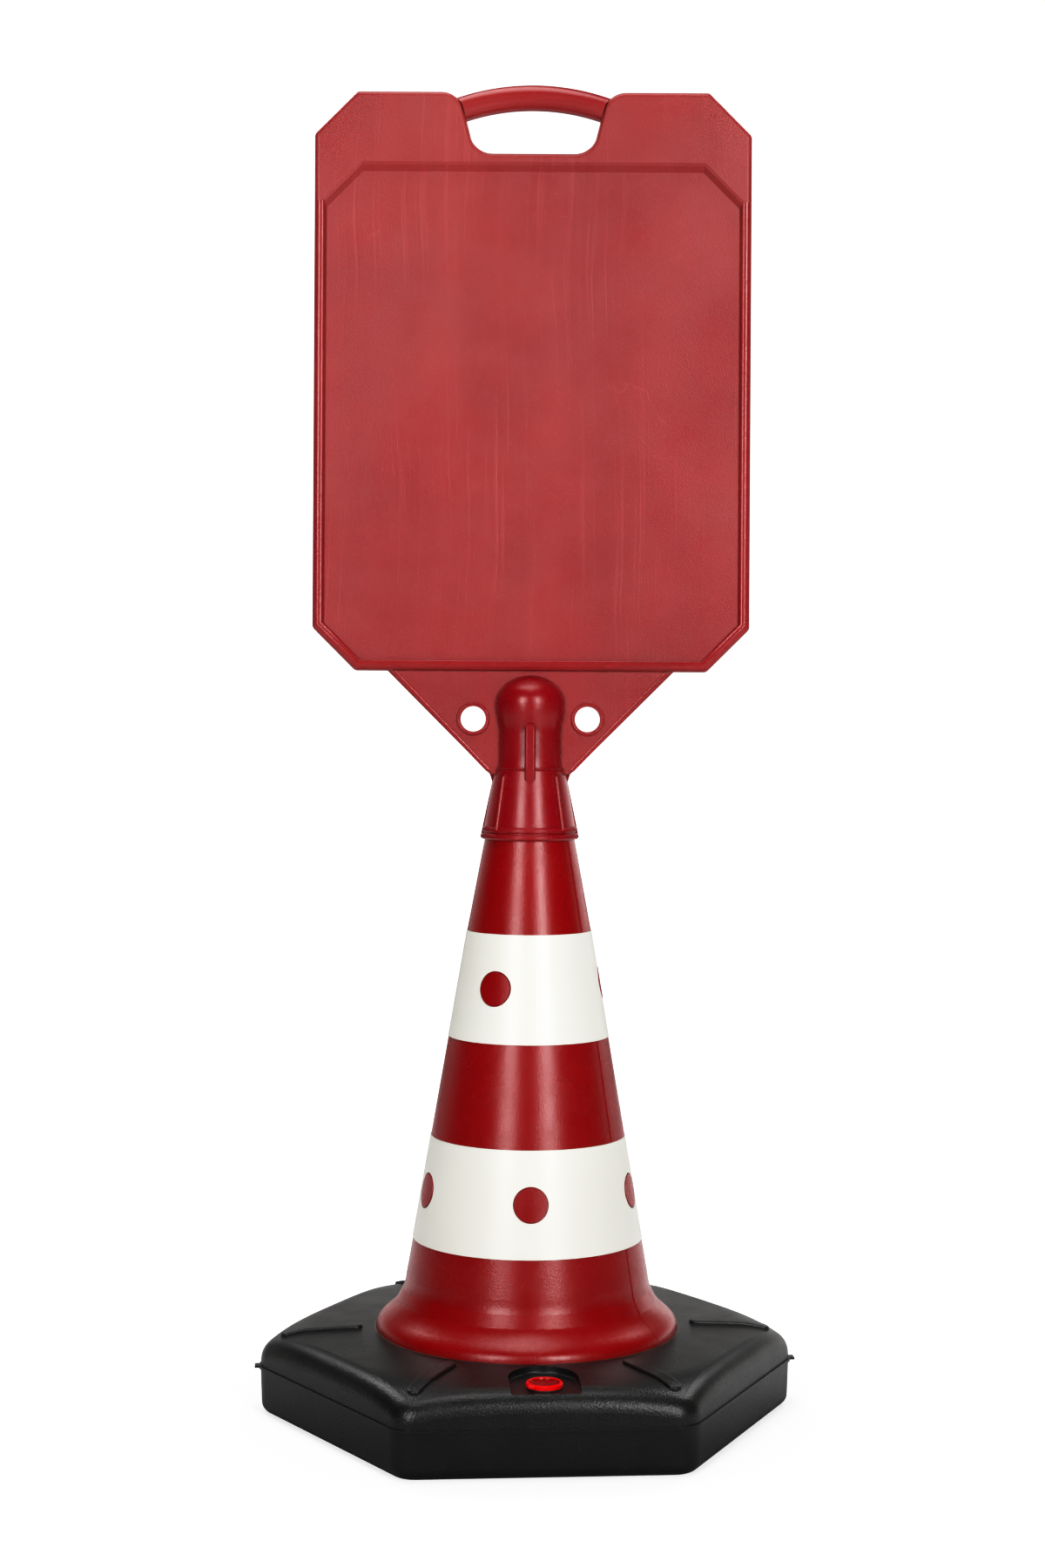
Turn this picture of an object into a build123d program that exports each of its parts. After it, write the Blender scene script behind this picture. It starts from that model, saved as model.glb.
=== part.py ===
from build123d import *
import os
from math import asin, cos, degrees, radians, sin, sqrt, tan

# A sign cone: a hollow ballast base, a traffic cone standing on it with two white sleeves,
# and a hollow sign board with a carry handle whose socket snaps over the cone's head.
# Millimetres. +Z is up, the board faces -Y, and the origin is the middle of the base's underside.

# ---- ballast base: a hexagonal blow-moulded tank
base_corner_radius_out = 234.5   # centre to corner at the parting plane
base_turn = 4.5                  # the base stands turned a little under the cone, degrees
parting_height = 40.0
side_draft = 2.0                 # degrees, both halves
upright_corner_radius = 25.0
shoulder_radius = 18.0
underside_radius = 10.0
tank_wall = 3.5
crown_sphere = 4000.0            # the middle of the top face is part of a sphere this big
crown_break_in = 48.5            # this far in from the corners the top face falls away faster
crown_bend = 90.0                # radius of that fall
crown_rim_height = 72.8          # height of the top face where it meets the cone's foot
seat_depth = 3.0                 # the foot stands in a shallow round seat
hub_height = 16.0                # above the seat, inside the cone
flange_out = 1.6                 # parting flange all round
flange_thickness = 2.4
ear_out = 5.0                    # pinched-off flash at two corners
ear_width = 9.0
rib_gap = 12.0                   # from the cone's foot to the ribs
rib_end_in = 20.5                # from the ribs' outer ends to the corners
rib_width = 12.5
rib_height = 2.4

# ---- filler: a pocket in the front face with a push-in plug
pocket_radius = 28.4
pocket_gap = 4.6                 # from the cone's foot to its rear wall
pocket_depth = 6.3               # its floor lies below the top face and runs out through the shoulder
pocket_rounding = 2.0
filler_from_wall = 40.4          # from the pocket's rear wall to the plug's middle
neck_bore_radius = 12.5
neck_wall = 3.0
neck_depth = 14.0
plug_cap_radius = 15.0
plug_cap_height = 3.4
plug_dish_depth = 1.6
plug_rim = 2.6
plug_length = 18.0
plug_wall = 2.2
plug_tab_out = 3.5
seal_height = 1.2
seal_radius = 14.2

# ---- cone
foot_radius = 131.0
foot_edge = 3.6                  # upright edge of the foot
foot_web = 3.4
knee_in = 9.0                    # middle of the flare, in from the foot's edge
knee_up = 16.6                   # and up from the seat
cone_wall = 3.2
flare_in = 25.9                  # the straight cone's lower end, in from the foot's edge
taper_high = 0.186               # radius lost for each mm of height above the change
radius_at_change = 54.0
collar_height = 552.0            # the shoulder that carries the sign
flare_part = 0.100               # share of the cone's height where the flare ends
taper_change_part = 0.718        # share of the cone's height where the taper changes
head_neck_radius = 24.0
head_radius = 26.4
head_neck_top = collar_height + 38.0
head_middle = collar_height + 60.0
head_top = collar_height + 81.0

# ---- white sleeves, held by round bosses on the cone
upper_sleeve_part = (0.5293, 0.7190)   # shares of the cone's height
lower_sleeve_part = (0.1674, 0.3509)
sleeve_thickness = 1.4
sleeve_proud = 0.5
boss_radius = 14.0
boss_gap = 1.0
upper_boss_angles = [-28.0 + 120.0 * i for i in range(3)]
lower_boss_angles = [1.6 + 72.0 * i for i in range(5)]

# ---- sign board
board_width = 380.0
board_bottom = collar_height + 90.0
board_top = board_bottom + 503.0
board_thickness = 22.0
board_chamfer = 37.0
board_corner_radius = 5.0
board_edge_radius = 4.4
board_wall = 2.5
rim_width = 10.0
rim_width_low = 9.0
header_height = 69.0             # from the top edge to the recess floor
recess_depth = 5.0
recess_chamfer = 32.0
recess_slope_side = 2.6
recess_slope_top = 6.5
recess_bevel = 1.1
notch_bottom = board_top - 53.5
notch_half_bottom = 51.0
notch_half_top = 65.0
notch_radius = 20.0

# ---- carry handle
handle_diameter = 22.0
handle_bore = 16.5
handle_crest = board_top + 7.5            # top of the handle
handle_arc_radius = 194.0        # of its middle line

# ---- gusset plate
gusset_half_top = 125.0
gusset_half_bottom = 35.0
gusset_thickness = 10.0
gusset_wall = 2.4
gusset_edge_chamfer = 2.2
tie_hole_radius = 11.0
tie_hole_spacing = 99.6
tie_hole_height = board_bottom - 42.0
tie_ring_out = 3.6
tie_ring_height = 1.2

# ---- socket
socket_wall = 1.8
bulb_radius = head_radius + 4.1
bulb_height = head_middle + 2.0
dome_top = head_top + 5.5
neck_outer_radius = head_neck_radius + 3.4
neck_low = collar_height + 16.0  # the neck is straight between these two heights
neck_high = collar_height + 36.0
shoulder_height = collar_height + 4.0
skirt_bottom = collar_height - 56.0
bead_out = 1.8                   # two round beads run round the skirt's lower edge
bead_height = 5.2
bead_pitch = 5.8
side_flange_thickness = 3.4
side_flange_waist = 6.5
side_flange_out = 1.8            # beyond the skirt
fin_width = 9.6
fin_reach = neck_outer_radius + 6.6
fin_top = collar_height + 46.0
fin_bottom = collar_height - 7.0
fin_rounding = 2.4
pad_angle = 46.0
pad_out = 0.8
skirt_rib_angle = 44.0
skirt_rib_width = 2.0
skirt_rib_out = 2.4

# ---- fits
running = 0.08                   # round fit of the sign's neck on the cone's head
loose = 0.3                      # between parts that only pass each other
sleeve_fit = 0.1
plug_fit = 0.08

os.makedirs("parts", exist_ok=True)
UP = (0, 0, 1)


def seat_height():
    return crown_rim_height - seat_depth


def cone_share(share):
    """A height on the cone, given as a share of the way from its seat to its collar."""
    return seat_height() + share * (collar_height - seat_height())


flare_start = cone_share(flare_part)
taper_change = cone_share(taper_change_part)
taper_low = (foot_radius - flare_in - radius_at_change) / (taper_change - flare_start)
upper_sleeve = [cone_share(share) for share in upper_sleeve_part]
lower_sleeve = [cone_share(share) for share in lower_sleeve_part]


def cone_radius(z):
    """Outside radius of the straight cone at a height."""
    taper = taper_low if z < taper_change else taper_high
    return radius_at_change + (taper_change - z) * taper


def revolve_profile(points):
    """Turn a closed (radius, height) outline about the Z axis."""
    wire = Polyline(*[(r, 0, z) for r, z in points], close=True)
    return Solid.revolve(Face(Wire(wire.edges())), 360, Axis.Z)


def curved_profile(start, moves):
    """Turn an outline about Z. A move is one (radius, height) point for a straight line, or three
    for a curve: two handles and its end. The outline closes itself."""
    def lift(point):
        return (point[0], 0, point[1])

    edges = []
    here = start
    for move in list(moves) + [start]:
        if isinstance(move[0], tuple):
            edges.append(Bezier(lift(here), *[lift(p) for p in move]))
            here = move[-1]
        elif move != here:
            edges.append(Line(lift(here), lift(move)))
            here = move
    return Solid.revolve(Face(Wire(edges)), 360, Axis.Z)


def dome_move(radius, middle, top):
    """A quarter ellipse from (radius, middle) up to the axis, as one curve."""
    pull = 0.5523
    return ((radius, middle + pull * (top - middle)), (pull * radius, top), (0, top))


def ring_solid(inner, outer, low, high):
    """A plain round ring, or a disc where inner is 0."""
    ring = Pos(0, 0, low) * Cylinder(outer, high - low, align=(Align.CENTER, Align.CENTER, Align.MIN))
    if inner > 0:
        ring -= Pos(0, 0, low - 1) * Cylinder(
            inner, high - low + 2, align=(Align.CENTER, Align.CENTER, Align.MIN))
    return ring


# ------------------------------------------------------------------ ballast base

def crown(raised):
    """Everything below the crowned top face: nearly flat, then falling away to the corners."""
    middle = crown_rim_height - sqrt(crown_sphere ** 2 - foot_radius ** 2)
    crown_break = base_corner_radius_out - crown_break_in
    lean = asin(crown_break / crown_sphere)
    bend_r = crown_break - crown_bend * sin(lean)
    bend_z = middle + (crown_sphere - crown_bend) * cos(lean)
    end = lean + radians(45)

    def on_sphere(turn):
        return ((crown_sphere + raised) * sin(turn), 0, middle + (crown_sphere + raised) * cos(turn))

    def on_bend(turn):
        return (bend_r + (crown_bend + raised) * sin(turn), 0, bend_z + (crown_bend + raised) * cos(turn))

    flat = ThreePointArc(on_sphere(0), on_sphere(lean / 2), on_sphere(lean))
    fall = ThreePointArc(on_sphere(lean), on_bend((lean + end) / 2), on_bend(end))
    outer = on_bend(end)[0]
    edges = [flat, fall, Line(fall @ 1, (outer, 0, -1)), Line((outer, 0, -1), (0, 0, -1)),
             Line((0, 0, -1), flat @ 0)]
    return Solid.revolve(Face(Wire(edges)), 360, Axis.Z)


def tank_body(inset):
    """The closed hexagonal body, or its inside when it is inset by the wall."""
    across = base_corner_radius_out - inset / cos(radians(30))
    outline = fillet(RegularPolygon(across, 6).vertices(), upright_corner_radius - inset)
    outline = Pos(0, 0, parting_height) * outline
    lower = extrude(outline, parting_height - inset, dir=(0, 0, -1), taper=side_draft)
    upper = extrude(outline, crown_rim_height, dir=UP, taper=side_draft)
    body = lower + (upper & crown(-inset))
    top = body.faces().filter_by(GeomType.TORUS)[0]
    body = fillet(top.outer_wire().edges(), shoulder_radius - inset)
    bottom = body.faces().sort_by(Axis.Z)[0]
    return fillet(bottom.edges(), max(underside_radius - inset, 1.5))


def pocket_floor():
    return crown_rim_height - pocket_depth


def filler_radius():
    """The plug's distance from the middle of the base."""
    return foot_radius + pocket_gap + filler_from_wall


def pocket(outset, floor):
    """The filler pocket's cutter: a round back wall opening towards the front face."""
    radius = pocket_radius + outset
    pocket_back = foot_radius + pocket_gap
    middle = -(pocket_back + pocket_radius)
    tall = 60.0
    low = floor - outset
    back = Pos(0, middle, low) * Cylinder(radius, tall, align=(Align.CENTER, Align.CENTER, Align.MIN))
    reach = base_corner_radius_out - pocket_back - pocket_radius
    front = Pos(0, middle, low) * Box(
        2 * radius, reach, tall, align=(Align.CENTER, Align.MAX, Align.MIN))
    cutter = back + front
    return fillet(cutter.faces().sort_by(Axis.Z)[0].edges(), pocket_rounding + outset)


def corner_rib(angle):
    """One raised stiffening rib that runs out to a corner along the crown."""
    rib_start = foot_radius + rib_gap
    rib_end = base_corner_radius_out - rib_end_in
    length = rib_end - rib_start
    slot = Pos(rib_start + length / 2, 0, 0) * SlotOverall(length, rib_width)
    rib = extrude(slot, 2 * crown_rim_height) & crown(rib_height)
    across = base_corner_radius_out - crown_break_in
    rim = [e for e in rib.edges() if e.center().Z > crown_rim_height / 2
           and abs(e.center().X - across) > 0.6]
    rib = fillet(rim, rib_height * 0.7)
    return Rot(0, 0, angle) * rib


def make_ballast_base():
    seat = seat_height()
    floor = pocket_floor()
    hub_radius = foot_web_inner() - loose
    body = tank_body(0)
    for corner in range(6):
        body += corner_rib(60 * corner) - ring_solid(0, 400, -2, parting_height + 1)
    flange = Pos(0, 0, parting_height - flange_thickness / 2) * extrude(
        fillet(RegularPolygon(base_corner_radius_out + flange_out, 6).vertices(),
               upright_corner_radius), flange_thickness)
    body += flange
    ear_reach = base_corner_radius_out + ear_out - upright_corner_radius * 0.15
    for side in (0, 180):
        ear = Pos(ear_reach, 0, parting_height) * Box(
            3 * ear_out, ear_width, flange_thickness * 0.8, align=(Align.MAX, Align.CENTER, Align.CENTER))
        body += Rot(0, 0, side) * ear
    body -= ring_solid(0, foot_radius + loose, seat, seat + 40)
    hub = ring_solid(0, hub_radius, seat - 1, seat + hub_height)
    hub = fillet(hub.faces().sort_by(Axis.Z)[-1].edges(), 4.0)
    body += hub
    body -= pocket(0, floor)

    inside = tank_body(tank_wall)
    inside -= ring_solid(0, foot_radius + loose + tank_wall, seat - tank_wall, seat + 40)
    inside += ring_solid(0, hub_radius - tank_wall, seat - 2 * tank_wall, seat + hub_height - tank_wall)
    inside -= pocket(tank_wall, floor)
    neck = Pos(0, -filler_radius(), 0) * ring_solid(
        0, neck_bore_radius + neck_wall, floor - neck_depth, floor)
    inside -= neck
    body -= inside
    body -= Pos(0, -filler_radius(), 0) * ring_solid(
        0, neck_bore_radius, floor - neck_depth - 1, floor + 1)
    return Rot(0, 0, base_turn) * body


# ------------------------------------------------------------------ filler plug

def at_filler(shape):
    return Rot(0, 0, base_turn) * (Pos(0, -filler_radius(), 0) * shape)


def make_filler_plug():
    low = pocket_floor() + seal_height
    top = low + plug_cap_height
    shank = neck_bore_radius - plug_fit
    tip = low - plug_length
    plug = revolve_profile([
        (0, low + 0.6), (shank - plug_wall, low + 0.6), (shank - plug_wall, tip), (shank - 0.8, tip),
        (shank, tip + 1.5), (shank, low), (plug_cap_radius, low), (plug_cap_radius, top - 1.0),
        (plug_cap_radius - 0.9, top), (plug_cap_radius - plug_rim, top),
        (plug_cap_radius - plug_rim - 0.8, top - plug_dish_depth), (0, top - plug_dish_depth)])
    tab = Pos(-0.72 * plug_cap_radius, -0.72 * plug_cap_radius, low + 1.5) * Cylinder(
        plug_tab_out, 1.4, align=(Align.CENTER, Align.CENTER, Align.MIN))
    tab -= ring_solid(0, plug_cap_radius - 1.0, low, top)
    return at_filler(plug + tab)


def make_plug_seal():
    floor = pocket_floor()
    seal = ring_solid(neck_bore_radius, seal_radius, floor, floor + seal_height)
    return at_filler(seal)


# ------------------------------------------------------------------ cone

def foot_web_inner():
    """Inside radius of the flat web under the cone's foot."""
    return cone_radius(flare_start) - cone_wall + 0.5


def flare_moves():
    """The flared foot, from its upright edge up to the straight cone."""
    seat = seat_height()
    knee = (foot_radius - knee_in, seat + knee_up)
    edge = seat + foot_edge
    start = (cone_radius(flare_start), flare_start)
    return [(foot_radius, edge),
            ((foot_radius, edge + 5.5), (knee[0] + 5.0, knee[1] - 4.0), knee),
            ((knee[0] - 8.5, knee[1] + 6.8), (start[0] + 1.2, flare_start - 15.0), start)]


def sleeve_seat(band):
    """Heights and radii of the recess that a sleeve lies in."""
    low, high = band
    sunk = sleeve_thickness + sleeve_fit - sleeve_proud
    return [(cone_radius(low), low - 0.3), (cone_radius(low) - sunk, low - 0.3),
            (cone_radius(high) - sunk, high + 0.3), (cone_radius(high), high + 0.3)]


def boss(band, angle):
    """A round boss on the cone's wall that shows through a hole in the sleeve."""
    low, high = band
    middle = (low + high) / 2
    reach = cone_radius(middle)
    peg = Pos(0, -reach + 8, middle) * Rot(90, 0, 0) * Cylinder(
        boss_radius, 24, align=(Align.CENTER, Align.CENTER, Align.MIN))
    outer = [(cone_radius(low) + sleeve_proud + 0.4, low), (cone_radius(high) + sleeve_proud + 0.4, high)]
    inner = [(cone_radius(high) - 2.0, high), (cone_radius(low) - 2.0, low)]
    return Rot(0, 0, angle) * (peg & revolve_profile(outer + inner))


def head_moves(outset):
    """The snap head on top of the cone, grown by outset for the sign's socket."""
    neck = head_neck_radius + outset
    head = head_radius + outset
    swell = head_middle - head_neck_top
    return [(neck, collar_height), (neck, head_neck_top),
            ((neck, head_neck_top + swell * 0.4), (head, head_middle - swell * 0.5), (head, head_middle)),
            dome_move(head, head_middle, head_top + outset)]


def make_cone_body():
    seat = seat_height()
    outer = flare_moves()
    outer += sleeve_seat(lower_sleeve)
    outer += sleeve_seat(upper_sleeve)
    outer += [(cone_radius(collar_height), collar_height)]
    outer += head_moves(0)
    bore = head_neck_radius - cone_wall
    inner_foot = foot_web_inner()
    inner = [(0, head_neck_top + 8.0), (bore, head_neck_top), (bore, collar_height),
             (cone_radius(taper_change) - cone_wall, taper_change),
             (cone_radius(flare_start) - cone_wall, flare_start),
             (foot_radius - knee_in - 2.0, seat + knee_up - 5.0),
             (foot_radius - knee_in, seat + foot_web), (inner_foot, seat + foot_web), (inner_foot, seat)]
    body = curved_profile((foot_radius, seat), outer + inner)
    for angle in upper_boss_angles:
        body += boss(upper_sleeve, angle)
    for angle in lower_boss_angles:
        body += boss(lower_sleeve, angle)
    return body


def make_sleeve(band, angles):
    low, high = band
    inside = sleeve_proud - sleeve_thickness
    sleeve = revolve_profile([
        (cone_radius(low) + inside, low), (cone_radius(low) + sleeve_proud, low),
        (cone_radius(high) + sleeve_proud, high), (cone_radius(high) + inside, high)])
    middle = (low + high) / 2
    for angle in angles:
        hole = Pos(0, 0, middle) * Rot(90, 0, 0) * Cylinder(
            boss_radius + boss_gap, 200, align=(Align.CENTER, Align.CENTER, Align.MIN))
        sleeve -= Rot(0, 0, angle) * hole
    return sleeve


# ------------------------------------------------------------------ sign board

def cut_corner_outline(half_width, low, high, chamfer):
    """A rectangle with its four corners cut off at 45 degrees, in the XZ plane."""
    return [(-half_width + chamfer, low), (half_width - chamfer, low), (half_width, low + chamfer),
            (half_width, high - chamfer), (half_width - chamfer, high), (-half_width + chamfer, high),
            (-half_width, high - chamfer), (-half_width, low + chamfer)]


def board_outline(inset):
    """The board's outline with the handle's notch in its top edge."""
    half = board_width / 2 - inset
    low = board_bottom + inset
    high = board_top - inset
    cut = board_chamfer - inset * (2 - sqrt(2))
    lean = (notch_half_top - notch_half_bottom) / (board_top - notch_bottom)
    floor = notch_bottom - inset
    half_floor = notch_half_bottom + inset * sqrt(1 + lean ** 2) - inset * lean
    half_mouth = half_floor + lean * (high - floor)
    return [(-half + cut, low), (half - cut, low), (half, low + cut), (half, high - cut),
            (half - cut, high), (half_mouth, high), (half_floor, floor), (-half_floor, floor),
            (-half_mouth, high), (-half + cut, high), (-half, high - cut), (-half, low + cut)]


def upright_face(points, y=0.0):
    """A flat face in a plane across Y."""
    wire = Polyline(*[(x, y, z) for x, z in points], close=True)
    return Face(Wire(wire.edges()))


def board_blank(inset):
    """The board's full-thickness block, rounded in its corners."""
    half_thick = board_thickness / 2 - inset
    block = extrude(upright_face(board_outline(inset), half_thick), 2 * half_thick, dir=(0, -1, 0))
    notch = [e for e in block.edges().filter_by(Axis.Y) if abs(e.center().X) < board_width / 4]
    block = fillet(notch, notch_radius)
    corners = [e for e in block.edges().filter_by(Axis.Y) if abs(e.center().X) >= board_width / 4]
    return fillet(corners, board_corner_radius)


def recess_outline(lift, widen=0.0):
    """The poster recess's outline at a height above its floor, with its sloping walls."""
    side = recess_slope_side / recess_depth * lift + widen
    top = recess_slope_top / recess_depth * lift + widen
    half = board_width / 2 - rim_width + side
    low = board_bottom + rim_width_low - side
    high = board_top - header_height + top
    return cut_corner_outline(half, low, high, recess_chamfer + side * (2 - sqrt(2)))


def loft_between(low_points, low_y, high_points, high_y):
    return Solid.make_loft([upright_face(low_points, low_y).outer_wire(),
                            upright_face(high_points, high_y).outer_wire()], ruled=True)


def recess_cutter(side):
    """The poster recess of one face; side is -1 for the front and 1 for the back."""
    floor_y = side * (board_thickness / 2 - recess_depth)
    bevel_y = side * (board_thickness / 2 - recess_bevel)
    past_y = side * (board_thickness / 2 + 1.0)
    walls = loft_between(recess_outline(0), floor_y, recess_outline(recess_depth + 1.0), past_y)
    start = recess_outline(recess_depth - recess_bevel)
    end = recess_outline(recess_depth + 1.0, widen=recess_bevel + 1.0)
    return walls + loft_between(start, bevel_y, end, past_y)


def recess_backing(side):
    """What the wall behind a recess keeps out of the hollow inside."""
    depth = recess_depth + board_wall
    outline = recess_outline(recess_depth, widen=board_wall)
    return extrude(upright_face(outline, side * (board_thickness / 2 + 1)), depth + 1, dir=(0, -side, 0))


def make_sign_board():
    board = board_blank(0)
    rims = [e for e in board.edges() if abs(abs(e.center().Y) - board_thickness / 2) < 0.01]
    board = fillet(rims, board_edge_radius)
    for side in (-1, 1):
        board -= recess_cutter(side)
    hollow = board_blank(board_wall)
    for side in (-1, 1):
        hollow -= recess_backing(side)
    return board - hollow


def handle_tube(radius):
    """The handle's round bar on its arc, long enough to run into the board."""
    middle_z = handle_crest - handle_diameter / 2 - handle_arc_radius
    half_angle = degrees(asin((notch_half_top + 8.0) / handle_arc_radius))
    path = CenterArc((0, 0, 0), handle_arc_radius, 90 - half_angle, 2 * half_angle)
    path = Pos(0, 0, middle_z) * (Rot(90, 0, 0) * path)
    start = path @ 0
    tangent = path % 0
    section = Plane(origin=start, z_dir=tangent) * Circle(radius)
    return sweep(section, path=path)


def make_carry_handle():
    handle = handle_tube(handle_diameter / 2) - handle_tube(handle_bore / 2)
    trimmed = handle - board_blank(0)
    middle = [s for s in trimmed.solids() if abs(s.center().X) < 5.0]
    return middle[0]


# ------------------------------------------------------------------ gusset plate

def gusset_foot():
    """Height of the plate's lower end, from its 45 degree edges."""
    return board_bottom - (gusset_half_top - gusset_half_bottom)


def gusset_outline(inset):
    """A plate under the board with two 45 degree edges running in to the socket."""
    low = gusset_foot()
    half_top = gusset_half_top - inset * sqrt(2)
    return [(-half_top, board_bottom), (-gusset_half_bottom + inset * (sqrt(2) - 1), low),
            (gusset_half_bottom - inset * (sqrt(2) - 1), low), (half_top, board_bottom)]


def tie_holes(radius, half_length):
    holes = None
    for side in (-1, 1):
        pin = Pos(side * tie_hole_spacing / 2, 0, tie_hole_height) * Rot(90, 0, 0) * Cylinder(
            radius, 2 * half_length)
        holes = pin if holes is None else holes + pin
    return holes


def make_gusset_plate():
    half = gusset_thickness / 2
    plate = extrude(upright_face(gusset_outline(0), half), gusset_thickness, dir=(0, -1, 0))
    slanted = [e for e in plate.edges() if abs(abs(e.center().Y) - half) < 0.01
               and e.center().Z < board_bottom - 1 and e.center().Z > board_bottom - 80]
    plate = chamfer(slanted, gusset_edge_chamfer)
    rings = tie_holes(tie_hole_radius + tie_ring_out, half + tie_ring_height)
    round_edges = [e for e in rings.edges().filter_by(GeomType.CIRCLE)]
    plate += fillet(round_edges, tie_ring_height * 0.8)
    inside = extrude(upright_face(gusset_outline(gusset_wall), half - gusset_wall),
                     gusset_thickness - 2 * gusset_wall, dir=(0, -1, 0))
    inside &= Pos(0, 0, board_bottom - gusset_wall) * Box(
        600, 60, 400, align=(Align.CENTER, Align.CENTER, Align.MAX))
    inside -= tie_holes(tie_hole_radius + gusset_wall, 30)
    inside -= socket_envelope(gusset_wall)
    plate -= inside
    plate -= tie_holes(tie_hole_radius, 30)
    return plate - socket_envelope(0)


# ------------------------------------------------------------------ socket

def skirt_radius(z):
    """Outside of the flared skirt, a wall and a gap outside the cone."""
    return cone_radius(z) + loose + socket_wall


def socket_envelope(outset):
    """The socket from the skirt's foot to the dome's top, solid, grown by outset."""
    skirt_low = skirt_radius(skirt_bottom) + outset
    skirt_high = skirt_radius(shoulder_height) + outset
    neck = neck_outer_radius + outset
    bulb = bulb_radius + outset
    ledge = (neck + 1.7, shoulder_height + 0.4)
    swell = bulb_height - neck_high
    return curved_profile((0, skirt_bottom), [
        (skirt_low, skirt_bottom), (skirt_high, shoulder_height - 2.5),
        ((skirt_high, shoulder_height - 0.8), (ledge[0] + 0.8, ledge[1] - 0.9), ledge),
        ((neck + 0.5, ledge[1] + 1.8), (neck, neck_low - 5.0), (neck, neck_low)),
        (neck, neck_high),
        ((neck, neck_high + swell * 0.4), (bulb, bulb_height - swell * 0.5), (bulb, bulb_height)),
        dome_move(bulb, bulb_height, dome_top + outset)])


def side_flanges():
    """Thin webs on the parting plane at both sides of the skirt."""
    half = side_flange_thickness / 2
    top = gusset_foot()
    waist = top - side_flange_waist
    low_out = skirt_radius(skirt_bottom) + side_flange_out
    high_out = skirt_radius(waist) + side_flange_out / 2
    outline = [(-low_out, skirt_bottom + 1), (low_out, skirt_bottom + 1),
               (high_out, waist), (gusset_half_bottom, top),
               (-gusset_half_bottom, top), (-high_out, waist)]
    return extrude(upright_face(outline, half), side_flange_thickness, dir=(0, -1, 0))


def side_pads():
    """Slightly raised panels at the two sides of the skirt."""
    low = skirt_bottom + 8
    high = gusset_foot() - 0.5
    shell = revolve_profile([
        (skirt_radius(low) + pad_out, low), (skirt_radius(high) + pad_out, high),
        (skirt_radius(high) - 1, high), (skirt_radius(low) - 1, low)])
    reach = 80.0
    spread = reach * tan(radians(90 - pad_angle))
    wedge = extrude(Pos(0, 0, skirt_bottom) * make_face(
        Polyline((0, 0), (reach, -spread), (reach, spread), close=True)), 80)
    return (shell & wedge) + (shell & (Rot(0, 0, 180) * wedge))


def skirt_ribs():
    """Four narrow upright ribs at the edges of the side panels."""
    low = skirt_bottom + 6
    high = shoulder_height - 3.0
    shell = revolve_profile([
        (skirt_radius(low) + skirt_rib_out, low), (skirt_radius(high) + skirt_rib_out, high),
        (skirt_radius(high) - 1, high), (skirt_radius(low) - 1, low)])
    ribs = None
    for side in (1, -1):
        for end in (-90, 90):
            plate = Rot(0, 0, end + side * skirt_rib_angle) * (Pos(20, 0, skirt_bottom) * Box(
                60, skirt_rib_width, 80, align=(Align.CENTER, Align.CENTER, Align.MIN)))
            rib = shell & plate
            rib = [r for r in rib.solids() if r.volume > 1.0]
            for piece in rib:
                ribs = piece if ribs is None else ribs + piece
    return ribs


def fins():
    """A stiffening fin down the front and the back of the neck, round at both ends."""
    length = fin_top - fin_bottom
    slot = Pos(0, 0, fin_bottom + length / 2) * Rot(90, 0, 0) * Rot(0, 0, 90) * SlotOverall(length, fin_width)
    round_ended = extrude(slot, 2 * fin_reach, both=True)
    bar = None
    for side in (-1, 1):
        points = [(0, fin_bottom + 4), (skirt_radius(fin_bottom), fin_bottom), (fin_reach, fin_bottom + 12),
                  (fin_reach, fin_top - 5), (neck_outer_radius, fin_top), (0, fin_top)]
        wire = Polyline(*[(-fin_width / 2, side * y, z) for y, z in points], close=True)
        fin = extrude(Face(Wire(wire.edges())), fin_width, dir=(1, 0, 0))
        front = [e for e in fin.edges() if abs(e.center().Y) > fin_reach - 1.6
                 and abs(e.center().X) > fin_width / 2 - 0.01]
        fin = fillet(front, fin_rounding) & round_ended
        bar = fin if bar is None else bar + fin
    return bar


def make_sign_socket():
    body = socket_envelope(0) + side_flanges() + side_pads() + skirt_ribs() + fins()
    low = skirt_bottom
    half = bead_height / 2
    for middle in (low + half, low + half + bead_pitch):
        radius = skirt_radius(middle) + bead_out
        body += revolve_profile([
            (radius - 3, middle - half), (radius - 0.8, middle - half), (radius, middle - half / 2),
            (radius, middle + half / 2), (radius - 0.8, middle + half), (radius - 3, middle + half)])
    hollow = [(cone_radius(low) + loose, low - 1), (cone_radius(low) + loose, low),
              (cone_radius(collar_height) + loose, collar_height)]
    return body - curved_profile((0, low - 1), hollow + head_moves(running))


pieces = {
    "ballast_base": make_ballast_base,
    "filler_plug": make_filler_plug,
    "plug_seal": make_plug_seal,
    "cone_body": make_cone_body,
    "lower_sleeve": lambda: make_sleeve(lower_sleeve, lower_boss_angles),
    "upper_sleeve": lambda: make_sleeve(upper_sleeve, upper_boss_angles),
    "sign_board": make_sign_board,
    "carry_handle": make_carry_handle,
    "gusset_plate": make_gusset_plate,
    "sign_socket": make_sign_socket,
}

for name, make in pieces.items():
    shape = make()
    export_step(shape, f"parts/{name}.step")
    print(name, "solids", len(shape.solids()), "volume", round(shape.volume))
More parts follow.
